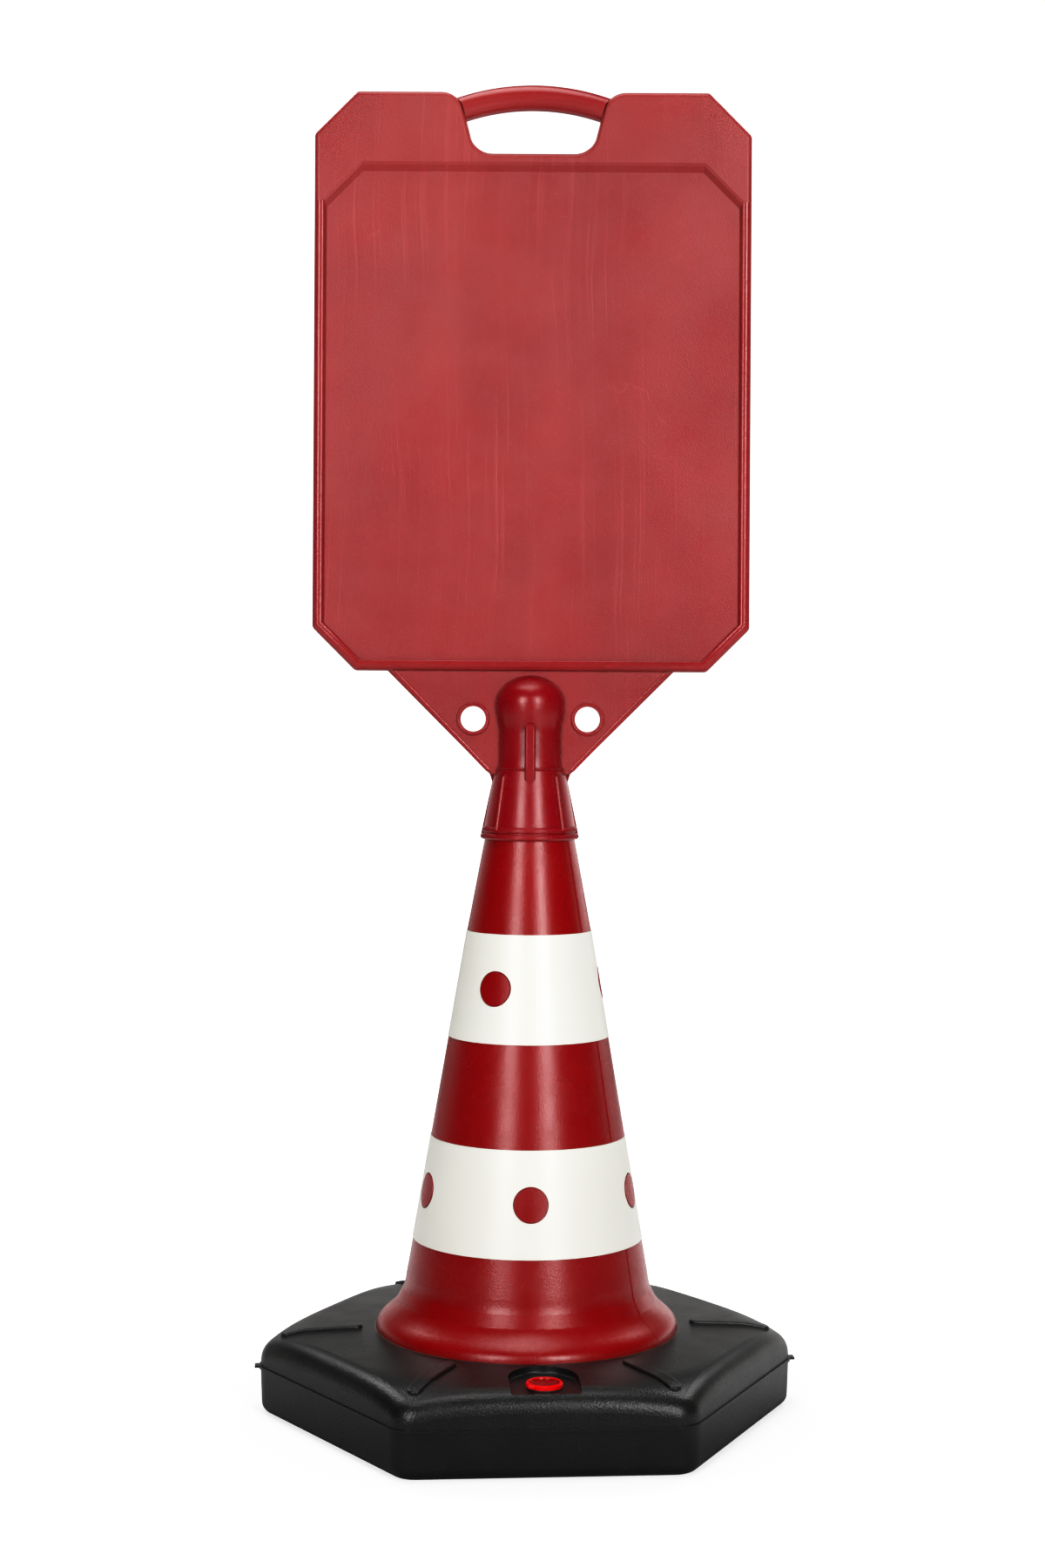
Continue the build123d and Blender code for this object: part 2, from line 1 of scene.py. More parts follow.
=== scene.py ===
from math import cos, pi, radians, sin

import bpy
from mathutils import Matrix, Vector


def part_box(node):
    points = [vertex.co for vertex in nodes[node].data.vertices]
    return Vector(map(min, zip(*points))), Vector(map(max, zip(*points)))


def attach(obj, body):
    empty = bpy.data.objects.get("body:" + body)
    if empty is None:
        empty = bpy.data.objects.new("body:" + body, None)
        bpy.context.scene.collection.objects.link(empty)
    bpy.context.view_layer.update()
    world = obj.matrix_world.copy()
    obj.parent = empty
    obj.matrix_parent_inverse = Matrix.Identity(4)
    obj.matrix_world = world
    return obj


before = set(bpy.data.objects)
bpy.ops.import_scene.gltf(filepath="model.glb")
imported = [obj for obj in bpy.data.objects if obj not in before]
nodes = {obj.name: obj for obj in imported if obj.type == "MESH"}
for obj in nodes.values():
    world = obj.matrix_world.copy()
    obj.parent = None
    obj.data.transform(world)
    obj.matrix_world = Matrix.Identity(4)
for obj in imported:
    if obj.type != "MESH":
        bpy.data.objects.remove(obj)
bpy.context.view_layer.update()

# %% [markdown]
# # A sign cone, finished in Blender
#
# The object is a traffic cone with two white sleeves. It stands on a black ballast tank and carries
# a red sign board with a carry handle. All the large pieces are hollow polyethylene mouldings.
# The CAD frame already holds their true shapes and sizes. This lesson adds what a mould and a few
# weeks of handling leave on plastic: grain, flow lines, flash along the parting lines and scuffs.

print("pieces in the frame:", sorted(nodes))

# %% [markdown]
# ## The camera
#
# The view is upright, two wide by three high. A tall product like this suits a level camera at about
# the middle of its height, so that upright edges stay upright. The lens is a little long. We could
# tilt the camera down to centre the object, but then its sides would lean together. Instead the film
# plane is shifted a little, as a view camera does.

# %% Camera
camera_distance = 2.107
camera_height = 0.608
camera_side = -0.0068
camera_roll = radians(-0.33)
focal_length = 55.46
film_shift = -0.0472

camera_data = bpy.data.cameras.new("studio_camera")
camera_data.lens = focal_length
camera_data.shift_y = film_shift
camera = bpy.data.objects.new("studio_camera", camera_data)
camera.location = (camera_side, -camera_distance, camera_height)
camera.rotation_euler = (radians(90), camera_roll, 0)
bpy.context.scene.collection.objects.link(camera)
bpy.context.scene.camera = camera
print("camera stands", camera_distance, "m away")

# %% [markdown]
# ## The studio
#
# Two tall softboxes stand close together on either side of the camera. They leave two upright
# streaks on the cone and two spots on every dome. Weaker lamps overhead and behind light the floor
# and the back. The room beyond is white behind the object and dark at the sides: the dark sides
# make the red look deep, and the white back brightens the edges of every round piece.
#
# An area lamp is the natural softbox: it has a size, so its reflection has the right shape.

# %% Lamps
def softbox(name, place, aim, width, height, watts):
    """A rectangular area lamp that looks at a point."""
    lamp = bpy.data.lights.new(name, "AREA")
    lamp.shape = "RECTANGLE"
    lamp.size = width
    lamp.size_y = height
    lamp.energy = watts
    holder = bpy.data.objects.new(name, lamp)
    holder.location = place
    holder.rotation_euler = (Vector(aim) - Vector(place)).to_track_quat("-Z", "Y").to_euler()
    bpy.context.scene.collection.objects.link(holder)


side_names = {-1: "left", 1: "right"}
front_reach = 2.7
front_turn = radians(25.0)
front_height = 1.25
front_watts = {-1: 31.0, 1: 36.0}
back_place = (1.6, 1.7, 2.6)
back_watts = 22.0

for side, side_name in side_names.items():
    place = (side * front_reach * sin(front_turn), -front_reach * cos(front_turn), front_height)
    softbox(f"front_softbox_{side_name}", place, aim=(0, 0, 0.62), width=0.62, height=1.5,
            watts=front_watts[side])
softbox("top_softbox", (-0.15, -0.2, 2.9), aim=(0, 0, 0), width=1.7, height=1.3, watts=24.0)
for side, side_name in side_names.items():
    place = (side * back_place[0], back_place[1], back_place[2])
    softbox(f"back_softbox_{side_name}", place, aim=(0, 0, 0.5), width=1.2, height=1.2,
            watts=back_watts)


# %% [markdown]
# Everything that isn't a shape is made of nodes, so a few short helpers come first. Each one places
# a node, joins it up and hands back its output, and numbers and sockets can be mixed freely.

# %% Node helpers
def add_node(tree, kind, **settings):
    """A new node with its settings; a setting named in_NAME is an input's value."""
    node = tree.nodes.new(kind)
    for name, value in settings.items():
        if name.startswith("in_"):
            node.inputs[name[3:].replace("_", " ")].default_value = value
        else:
            setattr(node, name, value)
    return node


def join(tree, start, end):
    """Links an output to an input."""
    tree.links.new(start, end)


def maths(tree, operation, first, second=None):
    """One Math node; numbers and sockets can both be given."""
    node = add_node(tree, "ShaderNodeMath", operation=operation)
    for slot, value in enumerate((first, second)):
        if value is None:
            continue
        if isinstance(value, (int, float)):
            node.inputs[slot].default_value = value
        else:
            join(tree, value, node.inputs[slot])
    return node.outputs[0]


def span(tree, value, low, high, new_low=0.0, new_high=1.0, curve="LINEAR"):
    """Stretches a value from one range to another and stops it at both ends."""
    node = add_node(tree, "ShaderNodeMapRange", interpolation_type=curve)
    join(tree, value, node.inputs["Value"])
    node.inputs["From Min"].default_value = low
    node.inputs["From Max"].default_value = high
    node.inputs["To Min"].default_value = new_low
    node.inputs["To Max"].default_value = new_high
    return node.outputs[0]


def axes_of(tree, position):
    """The three numbers of a position, as the outputs X, Y and Z."""
    node = add_node(tree, "ShaderNodeSeparateXYZ")
    join(tree, position, node.inputs[0])
    return node.outputs


def camera_sees(tree, seen, otherwise, out):
    """Shows one shader to the camera and another to every other ray."""
    light_path = add_node(tree, "ShaderNodeLightPath")
    choose = add_node(tree, "ShaderNodeMixShader")
    join(tree, light_path.outputs["Is Camera Ray"], choose.inputs[0])
    join(tree, otherwise.outputs[0], choose.inputs[1])
    join(tree, seen.outputs[0], choose.inputs[2])
    join(tree, choose.outputs[0], out.inputs["Surface"])


# %% World and floor
def build_world():
    """A room that is white behind the object and dark at the sides; the camera sees plain white."""
    world = bpy.data.worlds.new("white_back_room")
    bpy.context.scene.world = world
    world.use_nodes = True
    tree = world.node_tree
    tree.nodes.clear()
    out = add_node(tree, "ShaderNodeOutputWorld")
    way = axes_of(tree, add_node(tree, "ShaderNodeTexCoord").outputs["Generated"])
    behind = span(tree, way["Y"], 0.15, 0.75, 0.02, 0.75, "SMOOTHSTEP")
    sideways = span(tree, way["X"], -0.8, 0.8, 0.7, 2.0)
    height = span(tree, way["Z"], 0.06, 0.34, 1.0, 0.12, "SMOOTHSTEP")
    strength = maths(tree, "MULTIPLY", maths(tree, "MULTIPLY", behind, height), sideways)
    room = add_node(tree, "ShaderNodeBackground", in_Color=(1.0, 0.99, 0.97, 1.0))
    join(tree, strength, room.inputs["Strength"])
    white = add_node(tree, "ShaderNodeBackground", in_Color=(1, 1, 1, 1), in_Strength=1.0)
    camera_sees(tree, white, room, out)


def build_floor():
    """White paper that glows a little more with distance, so that it meets the white room unseen."""
    bpy.ops.object.select_all(action="DESELECT")
    bpy.ops.mesh.primitive_plane_add(size=60.0, location=(0, 0, 0))
    floor = bpy.context.object
    floor.name = "studio_floor"
    paper = bpy.data.materials.new("white_paper_floor")
    paper.use_nodes = True
    tree = paper.node_tree
    tree.nodes.clear()
    out = add_node(tree, "ShaderNodeOutputMaterial")
    place = add_node(tree, "ShaderNodeTexCoord").outputs["Object"]
    from_middle = add_node(tree, "ShaderNodeVectorMath", operation="LENGTH")
    join(tree, place, from_middle.inputs[0])
    bright = add_node(tree, "ShaderNodeBsdfDiffuse", in_Color=(0.6, 0.6, 0.6, 1))
    glow = add_node(tree, "ShaderNodeEmission", in_Color=(1, 1, 1, 1))
    join(tree, span(tree, from_middle.outputs["Value"], 0.24, 0.60, 0.50, 1.10), glow.inputs["Strength"])
    lit = add_node(tree, "ShaderNodeAddShader")
    join(tree, bright.outputs[0], lit.inputs[0])
    join(tree, glow.outputs[0], lit.inputs[1])
    axes = axes_of(tree, place)
    grey = 0.28
    ramps = (("X", 0.18, 0.34, 0.66), ("X", -0.18, -0.34, 0.36), ("Y", 0.05, 0.4, 0.4))
    for axis, near, far, lighter in ramps:
        grey = maths(tree, "ADD", span(tree, axes[axis], near, far, 0.0, lighter), grey)
    dull = add_node(tree, "ShaderNodeBsdfDiffuse")
    join(tree, grey, dull.inputs["Color"])
    camera_sees(tree, lit, dull, out)
    floor.data.materials.append(paper)


build_world()
build_floor()

# %% [markdown]
# ## Contrast
#
# A studio shot is given some contrast. The darks are pressed down a little and the lights are lifted
# and rounded off, so that black plastic stays black and white plastic keeps its shading. This is a
# tone curve from light in to light out. It's the fourth curve of the set, which holds for all three
# colours together.

# %% Tone curve
tone_curve = [(0.02, 0.011), (0.05, 0.029), (0.1, 0.07), (0.2, 0.175), (0.3, 0.325), (0.4, 0.49),
              (0.5, 0.64), (0.65, 0.82), (0.83, 0.955)]

view = bpy.context.scene.view_settings
view.view_transform = "Standard"
view.use_curve_mapping = True
all_colours = 3
curve = view.curve_mapping.curves[all_colours]
for light_in, light_out in tone_curve:
    curve.points.new(light_in, light_out)
view.curve_mapping.update()
print("view:", view.view_transform, "with", len(curve.points), "points on the tone curve")

# %% [markdown]
# ## Shared surface effects
#
# Several plastics here share the same few surface effects, so each effect is a node group that is
# built once. A group puts out heights, masks or colours, and the shader stays in the material.
#
# - **mould_grain** is the fine leather-like texture that a blasted mould leaves.
# - **flow_lines** are the long upright streaks that the die draws in a blown tube of plastic.
# - **soft_waves** is the slow unevenness of a thin hollow wall that shrank as it cooled.
# - **handling_marks** are short scuffs and fine scratches, and a little dust.
#
# All of them read Object coordinates in metres, so the pattern has a real size and stays in place
# when a piece moves.

# %% Node group helpers
def new_group(name, inputs, outputs):
    """A shader node group with named number sockets."""
    group = bpy.data.node_groups.new(name, "ShaderNodeTree")
    group.interface.new_socket(name="Position", in_out="INPUT", socket_type="NodeSocketVector")
    for label, value in inputs.items():
        socket = group.interface.new_socket(name=label, in_out="INPUT", socket_type="NodeSocketFloat")
        socket.default_value = value
    for label in outputs:
        group.interface.new_socket(name=label, in_out="OUTPUT", socket_type="NodeSocketFloat")
    return group, add_node(group, "NodeGroupInput"), add_node(group, "NodeGroupOutput")


def stretched(tree, position, scale):
    """The position with each axis scaled by its own amount."""
    node = add_node(tree, "ShaderNodeMapping")
    join(tree, position, node.inputs["Vector"])
    node.inputs["Scale"].default_value = scale
    return node.outputs[0]


def noise(tree, position, scale, detail=2.0, roughness=0.5):
    """A soft noise between 0 and 1; its scale can be a number or a socket."""
    node = add_node(tree, "ShaderNodeTexNoise")
    join(tree, position, node.inputs["Vector"])
    if isinstance(scale, (int, float)):
        node.inputs["Scale"].default_value = scale
    else:
        join(tree, scale, node.inputs["Scale"])
    node.inputs["Detail"].default_value = detail
    node.inputs["Roughness"].default_value = roughness
    return node.outputs["Fac"]


# %% Grain of a blasted mould
def build_mould_grain():
    tree, start, end = new_group("mould_grain", {"Grains per metre": 700.0}, ["Height"])
    fine = noise(tree, start.outputs["Position"], start.outputs["Grains per metre"], 3.0, 0.6)
    cells = add_node(tree, "ShaderNodeTexVoronoi", feature="SMOOTH_F1")
    cells.inputs["Smoothness"].default_value = 0.6
    join(tree, start.outputs["Position"], cells.inputs["Vector"])
    join(tree, start.outputs["Grains per metre"], cells.inputs["Scale"])
    pebbles = maths(tree, "MULTIPLY", cells.outputs["Distance"], 0.6)
    join(tree, maths(tree, "ADD", fine, pebbles), end.inputs["Height"])
    return tree


# %% Flow lines of a drawn tube
def build_flow_lines():
    tree, start, end = new_group("flow_lines", {"Lines per metre": 230.0}, ["Height", "Streaks"])
    where = start.outputs["Position"]
    count = start.outputs["Lines per metre"]
    drift = add_node(tree, "ShaderNodeTexNoise", in_Scale=3.5)
    join(tree, where, drift.inputs["Vector"])
    bent = add_node(tree, "ShaderNodeVectorMath", operation="MULTIPLY_ADD")
    join(tree, drift.outputs["Color"], bent.inputs[0])
    bent.inputs[1].default_value = (0.035, 0.0, 0.0)
    join(tree, where, bent.inputs[2])
    upright = stretched(tree, bent.outputs[0], (1.0, 0.25, 0.014))
    fine = noise(tree, upright, count, 2.0, 0.55)
    slower = stretched(tree, bent.outputs[0], (1.0, 0.25, 0.09))
    broad = noise(tree, slower, maths(tree, "MULTIPLY", count, 0.07), 2.0)
    patch = span(tree, noise(tree, where, 4.5, 2.0), 0.42, 0.62)
    lines = maths(tree, "MULTIPLY", span(tree, fine, 0.58, 0.70), patch)
    join(tree, maths(tree, "ADD", maths(tree, "MULTIPLY", lines, 0.30), broad), end.inputs["Height"])
    join(tree, maths(tree, "ADD", lines, span(tree, broad, 0.45, 0.8)), end.inputs["Streaks"])
    return tree


# %% Slow waves of a thin hollow wall
def build_soft_waves():
    tree, start, end = new_group("soft_waves", {"Waves per metre": 9.0}, ["Height"])
    slow = noise(tree, start.outputs["Position"], start.outputs["Waves per metre"], 1.0, 0.4)
    join(tree, slow, end.inputs["Height"])
    return tree


# %% Scuffs, scratches and dust
def build_handling_marks():
    tree, start, end = new_group("handling_marks", {"Amount": 0.5}, ["Scratches", "Dust"])
    where = start.outputs["Position"]
    near = noise(tree, where, 14.0, 3.0, 0.6)
    patch = span(tree, near, 0.56, 0.68)
    hairs = add_node(tree, "ShaderNodeTexVoronoi", feature="DISTANCE_TO_EDGE")
    wobble = add_node(tree, "ShaderNodeTexNoise", in_Scale=30.0)
    join(tree, where, wobble.inputs["Vector"])
    mixed = add_node(tree, "ShaderNodeVectorMath", operation="MULTIPLY_ADD")
    join(tree, wobble.outputs["Color"], mixed.inputs[0])
    mixed.inputs[1].default_value = (0.03, 0.03, 0.03)
    join(tree, where, mixed.inputs[2])
    join(tree, stretched(tree, mixed.outputs[0], (38.0, 38.0, 9.0)), hairs.inputs["Vector"])
    hairs.inputs["Scale"].default_value = 1.0
    line = span(tree, hairs.outputs["Distance"], 0.0, 0.012, 1.0, 0.0)
    marks = maths(tree, "MULTIPLY", maths(tree, "MULTIPLY", line, patch), start.outputs["Amount"])
    join(tree, marks, end.inputs["Scratches"])
    specks = span(tree, noise(tree, where, 420.0, 1.0), 0.70, 0.78)
    film = span(tree, noise(tree, where, 22.0, 4.0, 0.65), 0.40, 0.72)
    dust = maths(tree, "MAXIMUM", specks, maths(tree, "MULTIPLY", film, 0.35))
    join(tree, maths(tree, "MULTIPLY", dust, start.outputs["Amount"]), end.inputs["Dust"])
    return tree


effects = {
    "grain": build_mould_grain(),
    "flow": build_flow_lines(),
    "waves": build_soft_waves(),
    "marks": build_handling_marks(),
}
print("shared effects:", sorted(effects))

# %% [markdown]
# ## The plastics
#
# Every plastic is one Principled shader. Its plain numbers, such as the specular level, are set on
# the shader itself. What changes over the surface comes from the groups: two close colours mixed by
# a slow pattern, a roughness that follows the streaks and scuffs, and one Bump node for each size of
# relief. Bump distances are real heights in metres: grain is a few hundredths of a millimetre.

# %% Material helpers
def use_effect(tree, name, position, **values):
    """Places a shared effect in a material with this material's own values."""
    node = add_node(tree, "ShaderNodeGroup", node_tree=effects[name])
    join(tree, position, node.inputs["Position"])
    for label, value in values.items():
        node.inputs[label.replace("_", " ")].default_value = value
    return node


def bump(tree, height, distance, below=None):
    """Relief of a real height in metres, laid over the relief below it."""
    node = add_node(tree, "ShaderNodeBump", in_Distance=distance, in_Strength=1.0)
    join(tree, height, node.inputs["Height"])
    if below is not None:
        join(tree, below, node.inputs["Normal"])
    return node.outputs[0]


def mix_colour(tree, mask, first, second):
    """Goes from the first colour to the second as the mask goes from 0 to 1."""
    node = add_node(tree, "ShaderNodeMix", data_type="RGBA")
    if isinstance(mask, (int, float)):
        node.inputs[0].default_value = mask
    else:
        join(tree, mask, node.inputs[0])
    for slot, colour in ((6, first), (7, second)):
        if isinstance(colour, tuple):
            node.inputs[slot].default_value = (*colour, 1.0)
        else:
            join(tree, colour, node.inputs[slot])
    return node.outputs[2]


def new_plastic(name, specular):
    """A material with one Principled shader; returns it with its tree and position."""
    material = bpy.data.materials.new(name)
    material.use_nodes = True
    tree = material.node_tree
    tree.nodes.clear()
    out = add_node(tree, "ShaderNodeOutputMaterial")
    shader = add_node(tree, "ShaderNodeBsdfPrincipled")
    shader.inputs["Specular IOR Level"].default_value = specular
    join(tree, shader.outputs[0], out.inputs["Surface"])
    position = add_node(tree, "ShaderNodeTexCoord").outputs["Object"]
    return material, tree, shader, position


def moulded_plastic(name, deep, light, roughness, grain, grain_height, wave_height=0.0,
                    flow_height=0.0, marks=0.4, dust_colour=(0.5, 0.45, 0.4), mark_colour=None,
                    painted_sheen=0.0, foot_ring_radius=0.0):
    """A grained, slightly uneven, slightly handled polyethylene."""
    material, tree, shader, position = new_plastic(name, 0.5)
    slow = span(tree, noise(tree, position, 7.0, 3.0, 0.55), 0.3, 0.7)
    colour = mix_colour(tree, slow, deep, light)
    worn = use_effect(tree, "marks", position, Amount=marks)
    relief = None
    rough = span(tree, noise(tree, position, 40.0, 3.0), 0.3, 0.7, roughness - 0.03, roughness + 0.03)
    if wave_height:
        waves = use_effect(tree, "waves", position)
        relief = bump(tree, waves.outputs["Height"], wave_height)
    if flow_height:
        flow = use_effect(tree, "flow", position)
        relief = bump(tree, flow.outputs["Height"], flow_height, below=relief)
        pale = tuple(min(1.0, c * 1.25 + 0.012) for c in light)
        colour = mix_colour(tree, maths(tree, "MULTIPLY", flow.outputs["Streaks"], 0.30), colour, pale)
        rough = maths(tree, "ADD", rough, maths(tree, "MULTIPLY", flow.outputs["Streaks"], 0.06))
    grains = use_effect(tree, "grain", position, Grains_per_metre=grain)
    relief = bump(tree, grains.outputs["Height"], grain_height, below=relief)
    if painted_sheen:
        # Painted sheen: a pale veil mixed into the colour, thicker high up and broken by slow clouds.
        upper = span(tree, axes_of(tree, position)["Z"], 0.64, 1.05, 0.45, 1.0)
        cloud = span(tree, noise(tree, position, 5.0, 4.0, 0.55), 0.34, 0.66, 0.35, 1.0)
        sheen_mask = maths(tree, "MULTIPLY", maths(tree, "MULTIPLY", upper, cloud), painted_sheen)
        colour = mix_colour(tree, sheen_mask, colour, (0.78, 0.66, 0.58))
    if foot_ring_radius:
        # A thin light brown ring is painted where the cone's foot meets the tank.
        flat = stretched(tree, position, (1.0, 1.0, 0.0))
        out_from_axis = add_node(tree, "ShaderNodeVectorMath", operation="LENGTH")
        join(tree, flat, out_from_axis.inputs[0])
        past_radius = maths(tree, "SUBTRACT", out_from_axis.outputs["Value"], foot_ring_radius)
        ring = span(tree, maths(tree, "ABSOLUTE", past_radius), 0.0006, 0.0016, 0.8, 0.0)
        uneven = span(tree, noise(tree, position, 60.0, 3.0), 0.3, 0.6)
        colour = mix_colour(tree, maths(tree, "MULTIPLY", ring, uneven), colour, (0.16, 0.09, 0.05))
    scratch = mark_colour or tuple(min(1.0, c * 1.3 + 0.06) for c in light)
    colour = mix_colour(tree, maths(tree, "MULTIPLY", worn.outputs["Scratches"], 0.6), colour, scratch)
    colour = mix_colour(tree, maths(tree, "MULTIPLY", worn.outputs["Dust"], 0.10), colour, dust_colour)
    rough = maths(tree, "ADD", rough, maths(tree, "MULTIPLY", worn.outputs["Dust"], 0.05))
    join(tree, colour, shader.inputs["Base Color"])
    join(tree, rough, shader.inputs["Roughness"])
    join(tree, relief, shader.inputs["Normal"])
    return material


# %% The plastics of each piece
# The board red and the crown red carry a painted sheen: a pale veil, thicker high up.
board_red = moulded_plastic(
    "board_red_polyethylene", deep=(0.250, 0.0015, 0.005), light=(0.305, 0.006, 0.009),
    roughness=0.39, grain=900.0, grain_height=0.00012, wave_height=0.0030, flow_height=0.00034,
    marks=0.5, painted_sheen=0.058)
socket_red = moulded_plastic(
    "socket_red_polyethylene", deep=(0.250, 0.0006, 0.005), light=(0.290, 0.003, 0.009),
    roughness=0.27, grain=900.0, grain_height=0.00008, wave_height=0.0006, marks=0.3)
crown_red = moulded_plastic(
    "crown_red_polyethylene", deep=(0.265, 0.0015, 0.006), light=(0.315, 0.006, 0.010),
    roughness=0.24, grain=900.0, grain_height=0.00006, marks=0.3, painted_sheen=0.045)
cone_red = moulded_plastic(
    "cone_red_polyethylene", deep=(0.270, 0.0004, 0.002), light=(0.310, 0.002, 0.004),
    roughness=0.26, grain=800.0, grain_height=0.00010, wave_height=0.0004, marks=0.12)
tank_black = moulded_plastic(
    "black_polyethylene", deep=(0.0075, 0.0072, 0.0070), light=(0.0105, 0.0102, 0.0098),
    roughness=0.33, grain=620.0, grain_height=0.00020, wave_height=0.0008, marks=0.4,
    dust_colour=(0.16, 0.15, 0.14), mark_colour=(0.05, 0.05, 0.05), foot_ring_radius=0.1316)
sleeve_white = moulded_plastic(
    "white_sleeve_plastic", deep=(0.80, 0.785, 0.71), light=(0.84, 0.83, 0.765),
    roughness=0.36, grain=300.0, grain_height=0.00001, wave_height=0.0002, marks=0.35,
    dust_colour=(0.55, 0.52, 0.46), mark_colour=(0.6, 0.58, 0.53))
seal_rubber = moulded_plastic(
    "seal_rubber", deep=(0.02, 0.02, 0.02), light=(0.03, 0.03, 0.03), roughness=0.6,
    grain=1200.0, grain_height=0.00002, marks=0.2, dust_colour=(0.12, 0.11, 0.1))

# %% [markdown]
# The filler plug is a bright red cap with a shallow dish. The recessed dish is painted a deeper red
# than the rim, as painted shade. A mask by the distance from the plug's middle does that: it is
# measured from the plug's own box, and the step between the two reds is a millimetre wide.

# %% The plug's two reds
plug_low, plug_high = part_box("filler_plug")
plug_middle = (Vector(plug_low) + Vector(plug_high)) / 2
dish_radius = 0.0122


def plug_plastic():
    """Bright red on the rim and a deeper red in the dish, painted there as shade."""
    material, tree, shader, position = new_plastic("bright_red_polyethylene", 0.25)
    across = add_node(tree, "ShaderNodeVectorMath", operation="SUBTRACT")
    join(tree, position, across.inputs[0])
    across.inputs[1].default_value = plug_middle
    flat = stretched(tree, across.outputs[0], (1.0, 1.0, 0.0))
    from_middle = add_node(tree, "ShaderNodeVectorMath", operation="LENGTH")
    join(tree, flat, from_middle.inputs[0])
    rim = span(tree, from_middle.outputs["Value"], dish_radius - 0.0005, dish_radius + 0.0005)
    broad = noise(tree, position, 90.0, 3.0)
    rim_red = mix_colour(tree, broad, (0.70, 0.0004, 0.0006), (0.80, 0.001, 0.001))
    # The dish's two deeper reds are painted shade.
    mottled = noise(tree, position, 160.0, 4.0)
    dish_painted_shade = mix_colour(tree, mottled, (0.20, 0.0003, 0.0006), (0.29, 0.001, 0.001))
    join(tree, mix_colour(tree, rim, dish_painted_shade, rim_red), shader.inputs["Base Color"])
    worn = use_effect(tree, "marks", position, Amount=0.3)
    rough = maths(tree, "ADD", maths(tree, "MULTIPLY", worn.outputs["Dust"], 0.3), 0.22)
    join(tree, rough, shader.inputs["Roughness"])
    grains = use_effect(tree, "grain", position, Grains_per_metre=900.0)
    join(tree, bump(tree, grains.outputs["Height"], 0.00002), shader.inputs["Normal"])
    return material


plug_red = plug_plastic()
print("plug stands at", [round(v, 3) for v in plug_middle])

# %% [markdown]
# Now every CAD piece gets its plastic. The handle takes the glossier red, because hands polish it,
# and that red also carries a painted sheen.

# %% Finishes on the CAD pieces
finish_of = {
    "ballast_base": tank_black,
    "filler_plug": plug_red,
    "plug_seal": seal_rubber,
    "cone_body": cone_red,
    "lower_sleeve": sleeve_white,
    "upper_sleeve": sleeve_white,
    "sign_board": board_red,
    "carry_handle": crown_red,
    "gusset_plate": board_red,
    "sign_socket": socket_red,
}
for name, material in finish_of.items():
    mesh = nodes[name].data
    mesh.materials.clear()
    mesh.materials.append(material)
print("finishes:", sorted({m.name for m in finish_of.values()}))

# %% [markdown]
# ## Flash and parting lines
#
# A blow mould closes in two halves, and where they meet a thin line of plastic stands proud. On the
# cone it runs down both sides. We could displace the cone itself, but the cone is the CAD's piece and
# stays as it is. Instead a narrow strip is laid on it. The strip starts as a small flat square that
# is extruded step by step up the cone, and every step is measured off the cone's own surface.

# %% Helpers for small pieces
def only_select(piece):
    """Selects one piece alone and makes it the active one."""
    bpy.ops.object.select_all(action="DESELECT")
    piece.select_set(True)
    bpy.context.view_layer.objects.active = piece


def finish_piece(piece, name, body, material):
    """Settles a new piece: its place goes into its mesh, and it rides on a body."""
    only_select(piece)
    bpy.ops.object.transform_apply(location=True, rotation=True, scale=True)
    bpy.ops.object.mode_set(mode="EDIT")
    bpy.ops.mesh.select_all(action="SELECT")
    bpy.ops.mesh.normals_make_consistent(inside=False)
    bpy.ops.object.mode_set(mode="OBJECT")
    bpy.ops.object.shade_smooth_by_angle(angle=radians(40))
    piece.name = name
    piece.data.name = name
    piece.data.materials.clear()
    piece.data.materials.append(material)
    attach(piece, body)
    print(name, "has", len(piece.data.polygons), "faces")


well_outside = 0.5


def outward_at(turn):
    """The level direction that points away from the axis, turned from the front."""
    return Vector((sin(turn), -cos(turn), 0.0))


def surface_distance(node_name, turn, height):
    """How far a piece's surface is from the axis, seen from a direction round it."""
    on_axis = Vector((0, 0, height))
    start = outward_at(turn) * well_outside + on_axis
    place = nodes[node_name].ray_cast(start, -outward_at(turn))[1]
    return (place - on_axis).length


# %% Flash lines on the cone
flash_half_width = 0.0007
flash_proud = 0.0006
flash_root = 0.0012
flash_stretches = [(0.0745, 0.1495), (0.2400, 0.3240), (0.4175, 0.4950)]


def flash_strip(turn, low, high, steps):
    """A thin strip extruded up the cone's surface."""
    heights = [low + (high - low) * i / steps for i in range(steps + 1)]
    outs = [surface_distance("cone_body", turn, z) + flash_proud for z in heights]
    depth = flash_proud + flash_root
    bpy.ops.object.select_all(action="DESELECT")
    bpy.ops.mesh.primitive_plane_add(size=1.0, location=(0, -outs[0] + depth / 2, low))
    strip = bpy.context.object
    strip.scale = (2 * flash_half_width, depth, 1.0)
    bpy.ops.object.transform_apply(location=True, rotation=True, scale=True)
    bpy.ops.object.mode_set(mode="EDIT")
    bpy.ops.mesh.select_all(action="SELECT")
    for i in range(steps):
        move = (0, outs[i] - outs[i + 1], heights[i + 1] - heights[i])
        bpy.ops.mesh.extrude_region_move(TRANSFORM_OT_translate={"value": move})
    bpy.ops.object.mode_set(mode="OBJECT")
    strip.rotation_euler = (0, 0, turn)
    return strip


flash_turn = radians(58.0)
curved_steps = 14
straight_steps = 6
for side, turn in (("front", flash_turn), ("back", flash_turn + pi)):
    for number, (low, high) in enumerate(flash_stretches, start=1):
        steps = curved_steps if number == 1 else straight_steps
        finish_piece(flash_strip(turn, low, high, steps), f"cone_flash_{side}_{number}", "cone",
                     cone_red)

